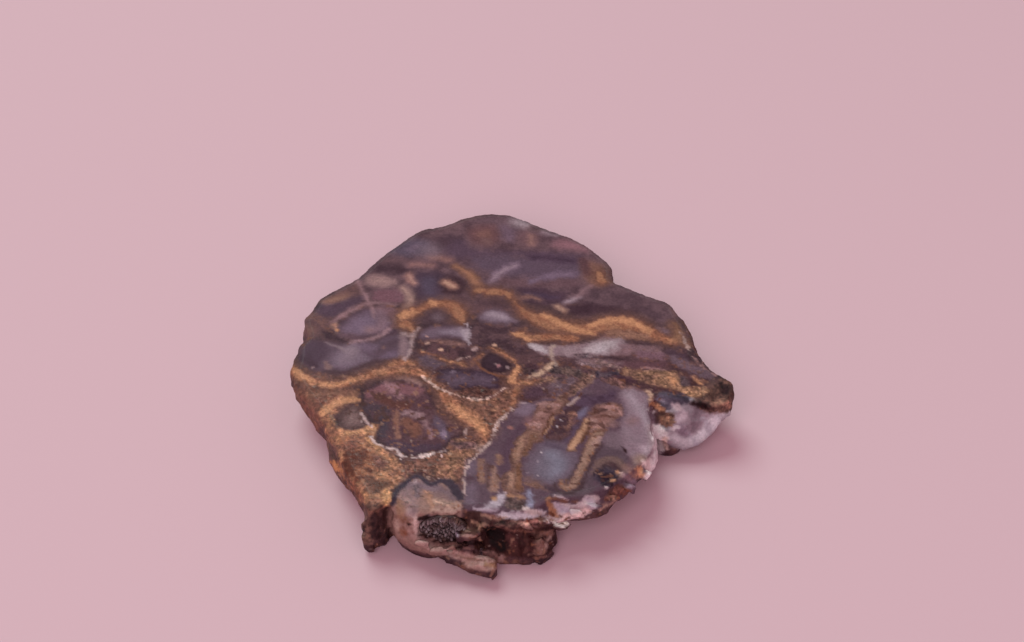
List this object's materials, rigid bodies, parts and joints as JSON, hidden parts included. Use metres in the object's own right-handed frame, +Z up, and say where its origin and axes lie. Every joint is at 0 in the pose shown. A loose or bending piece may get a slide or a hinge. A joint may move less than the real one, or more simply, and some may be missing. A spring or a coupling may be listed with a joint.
{
  "type": "moss agate slab",
  "caption": "Flat irregular slice of moss agate, polished on top, sawn flat beneath, with a broken overhanging front edge, a nodule and a small crystal pocket.",
  "frame": {"origin": "under the middle of the slab's box, on the surface that the sawn base rests on", "axes": "+Z up, square to the polished face; -Y is the broken front; +X is the side with the pointed tip"},
  "size_m": [0.081, 0.0888, 0.011],
  "materials": {
    "agate": "polished on top, waxy and translucent in the grey chalcedony, matt and granular on the worn and broken sides",
    "quartz": "glassy grey-white quartz points"
  },
  "bodies": {
    "root": {"agate_slab": "agate", "pocket_druse": "quartz"}
  },
  "joints": []
}
